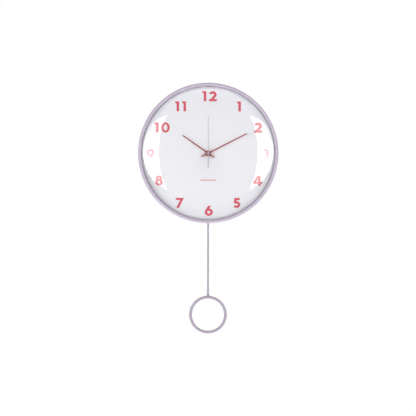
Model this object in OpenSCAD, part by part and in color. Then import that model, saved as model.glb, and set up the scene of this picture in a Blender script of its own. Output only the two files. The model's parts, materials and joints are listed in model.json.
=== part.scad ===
// Pendulum wall clock: a spun steel case with a domed glass, a printed dial, a quartz
// movement with its gear train, three hands and a ring pendulum.
//
// Each module draws in the clock's own frame: X to the right and Y up as seen from the
// front, Z towards the viewer, with the dial axis at X = Y = 0 and the rear face of the
// hanger plate at Z = 0. in_frame() turns that to +Z up, with the front facing -Y and the
// origin at the keyhole.

/* [Case] */
// Outer diameter of the case
case_d = 300; // [240:5:380]
// Depth of the case from its rear edge to the crest of the bezel
case_depth = 38; // [37:1:50]
// Thickness of the spun steel sheet
case_wall = 1.2; // [0.8:0.1:1.6]
// Width of the rolled bezel seen from the front
bezel_w = 6.8; // [5.8:0.2:9]
// Depth of the plain lip that turns down inside the bezel
lip_h = 1.6; // [1:0.1:2.4]
// How far the case's rear edge stands behind the hanger plate
rear_recess = 2; // [1:0.5:4]

/* [Glass and dial] */
// Thickness of the glass
glass_t = 2; // [1.5:0.1:3]
// Rise of the domed glass from its edge to its middle
dome_rise = 22; // [12:1:30]
// Thickness of the dial plate
dial_t = 0.8; // [0.6:0.1:1.5]
// Height of the numerals
numeral_h = 21.5; // [14:0.5:24]
// Distance from the bezel's opening in to the middle of the numerals
numeral_in = 21; // [16:1:34]
// Thickness of the printed ink
print_t = 0.15; // [0.1:0.05:0.3]

/* [Hands] */
// Length of the hour hand from the axis
hour_len = 67; // [40:1:80]
// Length of the minute hand from the axis
minute_len = 93; // [60:1:108]
// Length of the second hand from the axis
second_len = 80; // [50:1:105]
// Length of the second hand's counterweight
second_tail = 32; // [15:1:40]
// Width of the hour and minute hands
hand_w = 2.6; // [2:0.1:5]

/* [Pendulum] */
// Height of the dial axis above the centre of the pendulum ring
pendulum_drop = 350; // [280:2:460]
// Outer diameter of the pendulum ring
ring_d = 82; // [50:1:110]
// Diameter of the ring's round bar
ring_bar = 6; // [4:0.2:9]
// Diameter of the pendulum rod
rod_d = 4; // [3:0.2:5]
// Swing of the pendulum to each side, in degrees
swing = 5; // [3:0.5:6]

/* [Movement] */
// Width of the movement's housing
movement_w = 58; // [58:1:70]
// Wall thickness of the movement's housing
shell_t = 1.5; // [1.2:0.1:2]
// Height of the dial axis below the hanger's keyhole
hang_drop = 44; // [42:1:60]
// Diameter of the screw head that the keyhole takes
keyhole_d = 9; // [7:0.5:10]

/* [Hidden] */
$fn = 96;

// Colours
lilac = [0.76, 0.71, 0.79];
dial_white = [0.93, 0.93, 0.95];
print_red = [0.84, 0.36, 0.42];
hand_red = [0.70, 0.29, 0.28];
shell_black = [0.13, 0.13, 0.14];
brass = [0.80, 0.66, 0.36];
steel = [0.72, 0.73, 0.75];
copper = [0.72, 0.40, 0.22];
gear_white = [0.90, 0.89, 0.84];
gear_green = [0.45, 0.62, 0.50];

// Fits
run_gap = 0.08;   // radial clearance of a shaft that turns in a bore
fit_gap = 0.03;   // radial clearance of a piece that is pressed or glued in place
air = 0.4;        // least gap between pieces that move past each other
eps = 0.01;       // how far a cut runs past the face that it opens

// Depths, from the rear plane of the hanger plate forwards
plate_t = 1.2;                                  // hanger plate and lugs
case_back = -rear_recess;
crest = case_back + case_depth;
cover_back = plate_t;
cover_in = cover_back + shell_t;
cover_h = 4;
base_back = cover_back + cover_h;
dial_back = crest - 16;
cushion_t = 0.8;
base_front = dial_back - cushion_t;
base_in = base_front - shell_t;
dial_face = dial_back + dial_t;

// Case
case_r = case_d / 2;
roll_r = bezel_w / 2;
lip_r = case_r - bezel_w;                       // the visible opening
lip_back = crest - roll_r - lip_h;
hem_t = 2 * case_wall;
hem_h = 5;
hem_r = case_r - hem_t;
wall_in = case_r - case_wall;

// Glass: a spherical cap behind the lip
gasket_t = 0.8;                                 // rubber between the lip and the glass
gasket_back = lip_back - gasket_t - glass_t - 1.8;
glass_r = lip_r + 3.8;
glass_curve = (glass_r * glass_r + dome_rise * dome_rise) / (2 * dome_rise);
function dome_sag(r) = glass_curve - sqrt(glass_curve * glass_curve - r * r);
glass_top = lip_back - gasket_t + dome_sag(lip_r + 0.6);  // outer face at the middle
glass_centre = glass_top - glass_curve;

// Dial stack behind the glass
stack_r = wall_in - 0.4;                        // dial plate and spacer
spacer_wall = 1.4;
spacer_foot = 1.5;
spacer_top_r = lip_r - 0.8;
spacer_foot_r = lip_r - 3.0;
spacer_flange = 1.2;                            // bears on the rubber behind the glass
spacer_lean = (spacer_top_r - spacer_foot_r) / (glass_top - dial_face);
spacer_flange_r = spacer_foot_r + spacer_lean * (gasket_back - dial_face) + spacer_wall / 2;
lug_screw_r = lip_r + 1.4;
lug_angles = [45, 135, 225, 315];
lug_span = 6;                                   // in degrees around the wall
lug_deep = 9;
lug_leg = 9;
boss_r = 2.7;
numeral_r = lip_r - numeral_in;
screw_r = 1.25;

// Slot in the rear of the wall that the pendulum rod swings in
pivot_y = -34;
rod_z = base_back + 1.8;
slot_half = (case_r + pivot_y) * tan(swing) + rod_d / 2 + 4;
slot_front = rod_z + rod_d / 2 + 4;
slot_corner = 3;

// Movement housing
half_w = movement_w / 2;
housing_top = 30;
housing_low = -74;
housing_corner = 4;
battery_r = 7.1;
battery_len = 49.2;
bay_top = -13.3;                                // the battery bay, between its two walls
bay_low = -28.3;
battery_y = (bay_top + bay_low) / 2;
battery_z = base_in - battery_r - 0.2;
cell_wall = 1.4;                                // walls between the housing's bays
screw_boss_r = 3.4;
cover_screw_x = half_w - shell_t - 3;
cover_screw_at = [for (y = [25.5, -70], x = [-1, 1]) [x * cover_screw_x, y]];
plate_low = bay_top + shell_t + air;            // bearing plates and the pillars between them
plate_high = 19.6;
pillar_r = 1.8;
pillar_at = [for (y = [plate_low + 2.2, plate_high - 2.2], x = [-1, 1]) [x * (half_w - shell_t - 2.4), y]];

// Gear train: module, teeth and place of each arbor
m_rotor = 0.42;
m_fourth = 0.68;
m_third = 0.48;
m_cannon = 0.75;
rotor_teeth = 6;
inter_teeth = 36;
inter_leaves = 6;
second_teeth = 30;
second_leaves = 6;
third_teeth = 45;
third_leaves = 6;
centre_teeth = 48;
cannon_leaves = 8;
motion_teeth = 24;
motion_leaves = 8;
hour_teeth = 32;
set_teeth = 12;
m_centre = m_third * (second_leaves + third_teeth) / (third_leaves + centre_teeth);
m_hour = m_cannon * (cannon_leaves + motion_teeth) / (motion_leaves + hour_teeth);
function gap_of(m, a, b) = m * (a + b) / 2;     // distance between two meshed centres
function at(r, a) = [r * cos(a), r * sin(a)];
inter_a = 150;
rotor_a = 90;
third_a = 40;
motion_a = 150;
set_a = -120;
inter_at = at(gap_of(m_fourth, second_teeth, inter_leaves), inter_a);
rotor_at = inter_at + at(gap_of(m_rotor, inter_teeth, rotor_teeth), rotor_a);
third_at = at(gap_of(m_third, second_leaves, third_teeth), third_a);
motion_at = at(gap_of(m_cannon, cannon_leaves, motion_teeth), motion_a);
set_at = motion_at + at(gap_of(m_cannon, motion_teeth, set_teeth), set_a);

// Levels of the train, from the rear
arbor_r = 0.55;
arbor_back = cover_in + 0.1;
bridge_t = 0.8;
wheel_t = 1;
bridge_back = cover_in + 0.05;
z_inter = bridge_back + bridge_t + 0.45;
z_second = z_inter + 1.6;
z_third = z_second + 1.6;
z_centre = z_third + 2.2;
z_middle = z_centre + 1.4;
z_motion = z_middle + 1.2;
z_hour = z_motion + 2;

// Pipes on the dial axis, and what they carry
minute_pipe_in = arbor_r + run_gap;
minute_pipe_r = 1.6;
hour_pipe_in = minute_pipe_r + run_gap;
hour_pipe_r = 2.5;
bush_in = hour_pipe_r + run_gap;
bush_r = 4;
bush_front = dial_face + 3.8;
washer_t = 0.5;
nut_t = 2;
nut_flats = 11;
hand_t = 0.6;
hour_hand_z = bush_front + 1;
minute_hand_z = hour_hand_z + hand_t + 1.7;
second_hand_z = minute_hand_z + hand_t + 1.5;
hub_r = 4.8;
cap_r = 3.1;
hour_angle = 305;                               // clockwise from twelve
minute_angle = 63;
hour_tail = 16;
minute_tail = 17;

// Pendulum
pin_r = 0.8;
arm_z = rod_z + 2.4;
arm_t = 2.4;
arm_w = 8;
hook_y = -82;
eye_r = 3.2;
eye_t = 1.6;
hook_pin_r = 1.3;
hook_nose = 1.3;
hook_slot = 1.8;
arm_slot = arm_w / 2 + (pivot_y - housing_low) * tan(swing) + 2;
magnet_y = -52;
magnet_r = 5;
ring_r = ring_d / 2 - ring_bar / 2;             // of the bar's centre line
ferrule_h = 5;
ferrule_r = 4.2;

// ---------------------------------------------------------------- helpers

module in_frame() {
    translate([0, 0, -hang_drop]) rotate([90, 0, 0]) children();
}

// A plain disc or bar from z0 to z1
module rod(r, z0, z1, xy = [0, 0]) {
    translate([xy[0], xy[1], z0]) cylinder(r = r, h = z1 - z0);
}

module slab(x0, y0, x1, y1, z0, z1) {
    translate([x0, y0, z0]) cube([x1 - x0, y1 - y0, z1 - z0]);
}

// A slab with rounded corners
module pad(x0, y0, x1, y1, z0, z1, r) {
    slab(x0 + r, y0, x1 - r, y1, z0, z1);
    slab(x0, y0 + r, x1, y1 - r, z0, z1);
    for (x = [x0 + r, x1 - r], y = [y0 + r, y1 - r]) rod(r, z0, z1, [x, y]);
}

module lathe() {
    rotate_extrude() children();
}

// A rectangle in the section of a turned piece
module band(r0, r1, z0, z1) {
    translate([r0, z0]) square([r1 - r0, z1 - z0]);
}

// Teeth as [radius, half angle in shares of the pitch] from root to tip
function tooth_side(n, m) = [
    [m * (n / 2 - 1.15), 0.205], [m * n / 2, 0.185],
    [m * (n / 2 + 0.5), 0.135], [m * (n / 2 + 0.85), 0.06]
];
function tooth(n, m) = let (s = tooth_side(n, m)) concat(
    [for (p = s) [p[0], -p[1]]],
    [for (i = [len(s) - 1:-1:0]) s[i]]
);
module teeth(n, m, turn, z0, z1, xy = [0, 0]) {
    translate([xy[0], xy[1], z0]) linear_extrude(z1 - z0) polygon([
        for (i = [0:n - 1], p = tooth(n, m)) at(p[0], turn + (i + p[1]) * 360 / n)
    ]);
}
// Turn of wheel b, so that it is in mesh with wheel a, which lies at angle phi from it to b
function meshed(phi, turn_a, a, b) = phi + 180 + 180 / b - (turn_a - phi) * a / b;

// A wheel with its rim, hub and round windows
module wheel(n, m, turn, z, xy = [0, 0], hub = 1.8, windows = 5) {
    rim = m * (n / 2 - 1.15);
    window_r = (rim - hub) * 0.3;
    difference() {
        teeth(n, m, turn, z, z + wheel_t, xy);
        for (i = [0:windows - 1])
            rod(window_r, z - eps, z + wheel_t + eps, xy + at((rim + hub) / 2, i * 360 / windows));
    }
}

// Pan-head screw with a cross slot, its head at z and its shank running forwards
module screw(xy, z, shank, r = screw_r) {
    difference() {
        union() {
            rod(2 * r, z - 1.1, z, xy);
            rod(r, z - eps, z + shank, xy);
        }
        for (a = [0, 90]) translate([xy[0], xy[1], z - 1.1]) rotate(a)
            cube([2.6 * r, 0.5, 1], center = true);
    }
}

// ---------------------------------------------------------------- numerals

stroke = 4.6;
thin = 4;                                       // stroke of the small rings
grid_h = 20.5;                                  // the height that the digits are drawn at
digit_gap = 5;
numeral_wide = 1.12;                            // how far the grid is stretched sideways
digit_w = [15.4, 7.6, 14.4, 13.4, 16, 14.4, 15.4, 15, 13.4, 15.4];

// Points on an oval of the radii r around c, every 5 degrees or so from one angle to another
function sweep(c, r, from, to) = let (steps = ceil(abs(to - from) / 5)) [
    for (i = [0:steps]) let (a = from + (to - from) * i / steps) c + [r[0] * cos(a), r[1] * sin(a)]
];

// An outline from the grid, stretched to the digits' width
module shape(points) {
    polygon([for (p = points) [p[0] * numeral_wide, p[1]]]);
}

module bar(x, y, w, h) {
    shape([[x, y], [x + w, y], [x + w, y + h], [x, y + h]]);
}

module arc(c, r, s, from, to) {
    shape(concat(sweep(c, [r, r], from, to), sweep(c, [r - s, r - s], to, from)));
}

module ring(c, outer, inner) {
    difference() {
        shape(sweep(c, outer, 0, 355));
        shape(sweep(c, inner, 0, 355));
    }
}

module nought() {
    ring([7.7, grid_h / 2], [7.7, 10.4], [3.5, 6.7]);
}

module one() {
    w = digit_w[1];
    bar(w - stroke, 0, stroke, grid_h);
    shape([
        [0, grid_h], [w - stroke + eps, grid_h], [w - stroke + eps, grid_h - 4.4],
        [0.9, grid_h - 3.8]
    ]);
}

module two() {
    r = 7;
    a = -38;
    c = [r, grid_h - r];
    outer = c + at(r, a);
    inner = c + at(r - stroke, a);
    run = [sin(a), -cos(a)];
    arc(c, r, stroke, a - 6, 165);
    shape([outer, inner, inner + run * inner[1] / cos(a), outer + run * outer[1] / cos(a)]);
    bar(0, 0, digit_w[2], stroke - 0.3);
}

module three() {
    r = 5.8;
    low_r = 6.6;
    arc([6.4, grid_h - r], r, thin, -90, 152);
    arc([low_r, low_r], low_r, thin, -152, 90);
    bar(5, 9.2, 1.6, 3.6);
}

module four() {
    difference() {
        shape([[0, 3.9], [0, 7.4], [7.4, grid_h], [12.9, grid_h], [12.9, 0], [8.6, 0], [8.6, 3.9]]);
        shape([[4.5, 7.7], [8.6, 7.7], [8.6, 14.4]]);
    }
    bar(12.8, 3.9, 3.2, 3.8);
}

module five() {
    r = 6.8;
    arc([7.4, r], r, stroke, -152, 122);
    bar(3.4, grid_h - stroke, 9.8, stroke);
    shape([[3.4, grid_h], [7.7, grid_h], [7.1, 13], [6, 8.9], [1.9, 10]]);
}

module six() {
    r = 7.5;
    a = 150;
    c = [7.7, r];
    outer = c + at(r, a);
    inner = c + at(r - stroke, a);
    lean = [1 / tan(a - 90), 1];
    ring(c, [r, r], [r - stroke, r - stroke]);
    shape([
        outer, outer + lean * (grid_h - outer[1]),
        inner + lean * (grid_h - inner[1]), inner
    ]);
}

module seven() {
    shape([[0, grid_h], [15, grid_h], [6, 0], [0.7, 0], [8.3, grid_h - 4.4], [0, grid_h - 4.4]]);
}

module eight() {
    r = 5.5;
    low_r = (grid_h + thin) / 2 - r;
    ring([6.75, grid_h - r], [r, r], [r - thin, r - thin]);
    ring([6.75, low_r], [low_r, low_r], [low_r - thin, low_r - thin]);
}

module nine() {
    translate([digit_w[6] * numeral_wide, grid_h]) rotate(180) six();
}

module digit(d) {
    if (d == 0) nought();
    if (d == 1) one();
    if (d == 2) two();
    if (d == 3) three();
    if (d == 4) four();
    if (d == 5) five();
    if (d == 6) six();
    if (d == 7) seven();
    if (d == 8) eight();
    if (d == 9) nine();
}

// The numeral for an hour, centred on the origin
module numeral(hour) {
    tens = floor(hour / 10);
    ones = hour % 10;
    ones_w = digit_w[ones] * numeral_wide;
    w = ones_w + (tens > 0 ? (digit_w[1] + digit_gap) * numeral_wide : 0);
    translate([-w / 2, -grid_h / 2]) {
        if (tens > 0) digit(tens);
        translate([w - ones_w, 0]) digit(ones);
    }
}

// ---------------------------------------------------------------- case, glass and dial

module case_shell() {
    color(lilac) difference() {
        lathe() {
            band(wall_in, case_r, case_back, crest - roll_r);
            band(hem_r, case_r, case_back, case_back + hem_h);
            band(lip_r, lip_r + case_wall, lip_back, crest - roll_r);
            intersection() {
                translate([case_r - roll_r, crest - roll_r]) difference() {
                    circle(roll_r);
                    circle(roll_r - case_wall);
                }
                band(lip_r - 1, case_r + 1, crest - roll_r, crest + 1);
            }
        }
        slab(-slot_half, -case_r - 1, slot_half, -case_r / 2, case_back - 1, slot_front - slot_corner);
        slab(slot_corner - slot_half, -case_r - 1, slot_half - slot_corner, -case_r / 2, case_back - 1, slot_front);
        for (x = [slot_corner - slot_half, slot_half - slot_corner])
            translate([x, -case_r / 2, slot_front - slot_corner]) rotate([90, 0, 0])
                cylinder(r = slot_corner, h = case_r);
    }
}

// Steel angles, spot-welded inside the wall, that carry the dial
module mounting_lugs() {
    color(steel) for (a = lug_angles) rotate(a) difference() {
        rotate(-lug_span / 2) rotate_extrude(angle = lug_span) {
            band(wall_in - lug_deep, wall_in, dial_back - plate_t, dial_back);
            band(wall_in - plate_t, wall_in, dial_back - lug_leg, dial_back);
        }
        rod(screw_r + 0.2, 0, crest, [lug_screw_r, 0]);
    }
}

module lug_screws() {
    color(steel) for (a = lug_angles) rotate(a)
        screw([lug_screw_r, 0], dial_back - plate_t, gasket_back - dial_back + plate_t - air - 1.2);
}

module dome(r_less) {
    translate([0, 0, glass_centre]) sphere(r = glass_curve - r_less, $fn = 200);
}

module glass_dome() {
    color([0.85, 0.92, 0.94, 0.35]) intersection() {
        difference() {
            dome(0);
            dome(glass_t);
        }
        rod(glass_r, 0, glass_top + 1);
    }
}

// Channel rubber around the edge of the glass
module gasket_section() {
    band(lip_r + 0.1, wall_in - 0.2, gasket_back, lip_back);
}
module glass_gasket() {
    color([0.45, 0.45, 0.47]) difference() {
        lathe() gasket_section();
        intersection() {
            difference() {
                dome(0);
                dome(glass_t);
            }
            rod(glass_r, 0, glass_top + 1);
        }
        rod(spacer_top_r + spacer_wall, 0, lip_back - glass_t - 0.2);
    }
}

// Moulded ring that holds the glass off the dial, with bosses for the lug screws
module spacer_ring() {
    color([0.80, 0.80, 0.82]) difference() {
        union() {
            intersection() {
                lathe() polygon([
                    [spacer_foot_r, dial_face], [spacer_foot_r + spacer_wall, dial_face],
                    [spacer_top_r + spacer_wall, glass_top], [spacer_top_r, glass_top]
                ]);
                dome(glass_t);
            }
            lathe() band(spacer_foot_r + 0.2, stack_r, dial_face, dial_face + spacer_foot);
            lathe() band(spacer_flange_r, stack_r, gasket_back - spacer_flange, gasket_back);
            for (a = lug_angles) rod(boss_r, dial_face, gasket_back - air, at(lug_screw_r, a));
        }
        for (a = lug_angles) rod(screw_r + fit_gap, dial_face - 1, gasket_back - air - 0.8, at(lug_screw_r, a));
    }
}

module dial_plate() {
    color(dial_white) difference() {
        rod(stack_r, dial_back, dial_face);
        rod(bush_r + 0.1, dial_back - 1, dial_face + 1);
        for (a = lug_angles) rod(screw_r + 0.2, dial_back - 1, dial_face + 1, at(lug_screw_r, a));
    }
}

// Centre of each hour's numeral from one to twelve, in shares of the circle's radius. They are
// set over from even places so that one and two figures look evenly spaced
places = [
    [0.538, 0.831], [0.88, 0.457], [1.015, -0.007], [0.876, -0.477], [0.5, -0.872],
    [0.012, -1.012], [-0.5, -0.872], [-0.869, -0.477], [-1.02, -0.007], [-0.816, 0.457],
    [-0.491, 0.831], [0.02, 1.01]
];
module hour_numerals() {
    k = numeral_h / grid_h;
    color(print_red) for (hour = [1:12])
        translate([places[hour - 1][0] * numeral_r, places[hour - 1][1] * numeral_r, dial_face])
            scale(k) linear_extrude(print_t / k) numeral(hour);
}

// Plain printed rule under the centre
module dial_mark() {
    mark_w = 34;
    mark_h = 1.5;
    mark_y = -57.5;
    color(print_red) slab(-mark_w / 2, mark_y - mark_h / 2, mark_w / 2, mark_y + mark_h / 2,
        dial_face, dial_face + print_t);
}

// Rubber feet on the rear edge, which keep the clock parallel to the wall
bumper_t = 2;
bumper_span = 9;
module wall_bumpers() {
    color([0.2, 0.2, 0.21]) for (a = [90, 215, 325]) rotate(a - bumper_span / 2)
        rotate_extrude(angle = bumper_span) {
            band(hem_r - 2.2, case_r - 0.3, case_back - bumper_t, case_back);
            band(hem_r - 2.2, hem_r - fit_gap, case_back - eps, case_back + hem_h);
        }
}

// ---------------------------------------------------------------- movement, fixed pieces

module base_body() {
    pad(-half_w, housing_low, half_w, housing_top, base_back, base_front, housing_corner);
}

module movement_base() {
    in_x = half_w - shell_t;
    color(shell_black) difference() {
        union() {
            difference() {
                base_body();
                slab(-in_x, bay_top + cell_wall, in_x, housing_top - shell_t, base_back - 1, base_in);
                slab(-in_x, bay_low, in_x, bay_top, base_back - 1, base_in);
                slab(-in_x, housing_low + shell_t, in_x, bay_low - cell_wall, base_back - 1, base_in);
                slab(-arm_slot, housing_low - 1, arm_slot, housing_low + shell_t + 1, base_back - 1, base_in);
            }
            for (p = pillar_at) rod(pillar_r, z_middle + bridge_t, base_in + eps, p);
            rod(2.4, arm_z + arm_t + air, base_in + eps, [0, pivot_y]);
            rod(1.6, z_hour + wheel_t + 2 * air, base_in + eps, motion_at);
            rod(0.8, z_motion - 0.3, base_in, motion_at);
            for (p = cover_screw_at) rod(screw_boss_r, base_back, base_in + eps, p);
        }
        rod(bush_r - 1, base_in - 1, base_front + 1);
        rod(pin_r + fit_gap, base_back, base_in - 1, [0, pivot_y]);
        for (p = cover_screw_at) rod(screw_r + fit_gap, base_back - 1, base_back + 7, p);
    }
}

module cover_plate(low, high) {
    difference() {
        pad(-half_w, low, half_w, high, cover_back, base_back, housing_corner);
        pad(shell_t - half_w, low + shell_t, half_w - shell_t, high - shell_t, cover_in,
            base_back + 1, housing_corner - shell_t);
    }
}

module cover_bosses(points) {
    for (p = points) rod(screw_boss_r, cover_in - eps, base_back, p);
}

module cover_holes(points) {
    for (p = points) {
        rod(screw_r + 0.2, 0, base_back + 1, p);
        rod(2 * screw_r + 0.3, 0, cover_back + 1.2, p);
    }
}

hanger_screw_at = [[-10, 24], [10, 24]];
hanger_screw_r = 1;
module movement_cover() {
    points = [cover_screw_at[0], cover_screw_at[1]];
    color(shell_black) difference() {
        union() {
            cover_plate(bay_top + 0.2, housing_top);
            cover_bosses(points);
        }
        cover_holes(points);
        for (p = hanger_screw_at) rod(hanger_screw_r + fit_gap, 0, base_back, p);
        rod(1.2 + run_gap, 0, base_back, set_at);
    }
}

module pendulum_cover() {
    points = [cover_screw_at[2], cover_screw_at[3]];
    color(shell_black) difference() {
        union() {
            cover_plate(housing_low, bay_low - 0.2);
            cover_bosses(points);
        }
        cover_holes(points);
        rod(pin_r + fit_gap, cover_in - 0.8, base_back, [0, pivot_y]);
    }
}

module cover_screws() {
    color(steel) for (p = cover_screw_at) screw(p, cover_back + 1.2, base_back - cover_back + 4);
}

module shaft_bush() {
    groove = 0.35;
    pitch = 0.8;
    color(brass) difference() {
        union() {
            rod(bush_r - 1, base_in, base_front);
            rod(bush_r, base_front, bush_front);
        }
        rod(bush_in, base_in - 1, bush_front + 1);
        for (z = [base_front + 1.4 : pitch : bush_front - 0.4]) difference() {
            rod(bush_r + 1, z, z + groove);
            rod(bush_r - groove, z - 1, z + 1);
        }
    }
}

module bush_nut() {
    z = dial_face + washer_t;
    color(brass) difference() {
        rotate(15) translate([0, 0, z]) cylinder(r = nut_flats / sqrt(3), h = nut_t, $fn = 6);
        rod(bush_r + fit_gap, z - 1, z + nut_t + 1);
    }
}

module bush_washer() {
    color(steel) difference() {
        rod(7.2, dial_face, dial_face + washer_t);
        rod(bush_r + 0.1, dial_face - 1, dial_face + 1);
    }
}

// Rubber washer between the housing and the dial
module cushion_washer() {
    color([0.2, 0.2, 0.21]) difference() {
        rod(13, base_front, dial_back);
        rod(bush_r + 0.1, base_front - 1, dial_back + 1);
    }
}

hanger_half = 15;
module hanger_plate() {
    slot_r = 2.2;
    slot_up = 6;
    top = hang_drop + 12;
    color(steel) difference() {
        pad(-hanger_half, 17, hanger_half, top, 0, plate_t, 5);
        rod(keyhole_d / 2, -1, plate_t + 1, [0, hang_drop]);
        rod(slot_r, -1, plate_t + 1, [0, hang_drop + slot_up]);
        slab(-slot_r, hang_drop, slot_r, hang_drop + slot_up, -1, plate_t + 1);
        for (p = hanger_screw_at) rod(hanger_screw_r + 0.2, -1, plate_t + 1, p);
    }
}

module hanger_screws() {
    color(steel) for (p = hanger_screw_at) screw(p, 0, plate_t + 2.4, hanger_screw_r);
}

// Bearing plates that the arbors turn in
module bearing_plate(z) {
    in_x = half_w - shell_t - 0.2;
    pad(-in_x, plate_low, in_x, plate_high, z, z + bridge_t, housing_corner - shell_t);
}

module bores(z0, z1, holes) {
    for (h = holes) rod(h[1], z0, z1, h[0]);
}

pivot_bore = arbor_r + 0.06;
set_bore = 1.2 + run_gap;
train_bores = [for (p = [inter_at, rotor_at, third_at]) [p, pivot_bore]];
module rear_bridge() {
    color([0.35, 0.37, 0.40]) difference() {
        bearing_plate(bridge_back);
        bores(0, z_middle, concat(train_bores, [[[0, 0], pivot_bore], [set_at, set_bore]]));
    }
}

module middle_plate() {
    color([0.35, 0.37, 0.40]) difference() {
        union() {
            bearing_plate(z_middle);
            for (p = pillar_at) rod(pillar_r, bridge_back + bridge_t, z_middle + eps, p);
        }
        bores(0, z_middle + 2, concat(train_bores, [[[0, 0], 4.4], [set_at, set_bore]]));
    }
}

board_z = z_inter + 1.8;
board_x = 11.4;
board_y = 20.2;
board_t = 0.8;
module circuit_board() {
    color([0.16, 0.42, 0.26]) slab(board_x, board_y, board_x + 9.2, board_y + 7.8, board_z, board_z + board_t);
}

module quartz_crystal() {
    color(steel) translate([board_x + 0.6, board_y + 6, board_z + board_t + 1.5]) rotate([0, 90, 0])
        cylinder(r = 1.5, h = 8);
}

module driver_chip() {
    color([0.1, 0.1, 0.1]) rod(2.1, board_z + board_t, board_z + board_t + 0.7, [board_x + 4.6, board_y + 2.3]);
}

// Stepping motor: coil, core and the plate around the rotor
flange_r = 3.9;
core_y = housing_top - shell_t - flange_r - 0.2;
core_z = z_third + wheel_t + 1.3;
core_left = rotor_at[0] - 8.6;
core_right = 10;
core_half = 1.2;
limb_w = 3.4;
spool_left = core_left + limb_w + 0.2;
spool_len = core_right - core_left - 2 * limb_w - 0.4;
flange_t = 1;
module motor_bobbin() {
    color(gear_white) translate([spool_left, core_y, core_z]) rotate([0, 90, 0]) difference() {
        union() {
            cylinder(r = 1.9, h = spool_len);
            for (x = [0, spool_len - flange_t]) translate([0, 0, x]) cylinder(r = flange_r, h = flange_t);
        }
        translate([-core_half / 2 + 0.1, -core_half - 0.1, -1])
            cube([core_half - 0.2, 2 * core_half + 0.2, spool_len + 2]);
    }
}

module motor_winding() {
    color(copper) translate([spool_left + flange_t, core_y, core_z]) rotate([0, 90, 0]) difference() {
        cylinder(r = flange_r - 0.4, h = spool_len - 2 * flange_t);
        translate([0, 0, -1]) cylinder(r = 1.9 + fit_gap, h = spool_len);
    }
}

module coil_core() {
    color(steel) slab(core_left, core_y - core_half, core_right, core_y + core_half,
        core_z - 0.4, core_z + 0.4);
}

module stator_plate() {
    z0 = z_third + wheel_t + 0.3;
    z1 = core_z - 0.4;
    low = rotor_at[1] - 1.8;
    rotor_gap = 0.5;
    color(steel) difference() {
        union() {
            rod(5.2, z0, z1, rotor_at);
            slab(core_left, low, core_right, low + limb_w, z0, z1);
            slab(core_left, low, core_left + limb_w, core_y + core_half, z0, z1);
            slab(core_right - limb_w, low, core_right, core_y + core_half, z0, z1);
        }
        rod(magnet_rotor_r + rotor_gap, z0 - 1, z1 + 1, rotor_at);
    }
}

// Size AA cell in its bay, with a flat and a coiled contact
module battery() {
    color([0.30, 0.32, 0.36]) translate([-battery_len / 2 + 0.2, battery_y, battery_z])
        rotate([0, 90, 0]) {
            cylinder(r = battery_r, h = battery_len);
            cylinder(r = 2.7, h = battery_len + 1.3);
        }
}

module contact_positive() {
    x = half_w - shell_t;
    color(steel) {
        slab(x - 0.5, battery_y - 5, x, battery_y + 5, battery_z - 6, battery_z + 6);
        translate([-battery_len / 2 + 0.2 + battery_len + 1.3, battery_y, battery_z]) rotate([0, 90, 0])
            cylinder(r = 2, h = x - battery_len / 2 - 1.5);
    }
}

module contact_negative() {
    x = half_w - shell_t;
    free = x - 0.4 - battery_len / 2 + 0.2;
    turns = 2;
    color(steel) {
        slab(-x, battery_y - 5, 0.4 - x, battery_y + 5, battery_z - 6, battery_z + 6);
        for (i = [0:turns]) translate([0.4 - x + i * (free - 0.6) / turns, battery_y, battery_z])
            rotate([0, 90, 0]) difference() {
                cylinder(r = 4 - i * 0.8, h = 0.6);
                translate([0, 0, -1]) cylinder(r = 3.3 - i * 0.8, h = 3);
            }
        slab(0.4 - x - eps, battery_y - 3.9, 0.4 - x + free - 0.02, battery_y - 3.2 + 1.2,
            battery_z - 0.3, battery_z + 0.3);
    }
}

module pendulum_bobbin() {
    color(gear_white) translate([0, magnet_y, 0]) {
        rod(2.4, base_in - 2.4, base_in);
        rod(6.2, base_in - 2.4, base_in - 2);
    }
}

module pendulum_coil() {
    color(copper) translate([0, magnet_y, 0]) difference() {
        rod(5.8, base_in - 2, base_in - 0.02);
        rod(2.4 + fit_gap, base_in - 3, base_in + 1);
    }
}

module pivot_pin() {
    color(steel) rod(pin_r, cover_in - 0.6, base_in - 1.2, [0, pivot_y]);
}

// ---------------------------------------------------------------- gear train

magnet_rotor_r = 3;
module rotor_magnet() {
    color([0.25, 0.25, 0.28]) difference() {
        rod(magnet_rotor_r, z_inter + wheel_t + 1.4, z_middle - 0.6, rotor_at);
        rod(arbor_r + fit_gap, z_inter, z_middle, rotor_at);
    }
}

inter_turn = meshed(inter_a, 0, second_teeth, inter_leaves);
rotor_turn = meshed(rotor_a, 0, inter_teeth, rotor_teeth);
module rotor_pinion() {
    color(gear_white) {
        rod(arbor_r, arbor_back, z_middle + bridge_t - 0.1, rotor_at);
        teeth(rotor_teeth, m_rotor, rotor_turn, z_inter - 0.2, z_inter + wheel_t + 0.2, rotor_at);
    }
}

module intermediate_wheel() {
    color(gear_white) {
        wheel(inter_teeth, m_rotor, 0, z_inter, inter_at);
        teeth(inter_leaves, m_fourth, inter_turn, z_inter, z_second + wheel_t + 0.3, inter_at);
        rod(arbor_r, arbor_back, z_middle + bridge_t - 0.1, inter_at);
    }
}

module second_wheel() {
    color(gear_white) {
        wheel(second_teeth, m_fourth, 0, z_second);
        teeth(second_leaves, m_third, 0, z_second, z_third + wheel_t + 0.4);
    }
    color(steel) rod(arbor_r, arbor_back, second_hand_z + hand_t + 0.5);
}

third_turn = meshed(third_a, 0, second_leaves, third_teeth);
module third_wheel() {
    color(gear_green) {
        wheel(third_teeth, m_third, third_turn, z_third, third_at);
        teeth(third_leaves, m_centre, 0, z_third, z_middle - 0.3, third_at);
        rod(arbor_r, arbor_back, z_middle + bridge_t - 0.1, third_at);
    }
}

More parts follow.
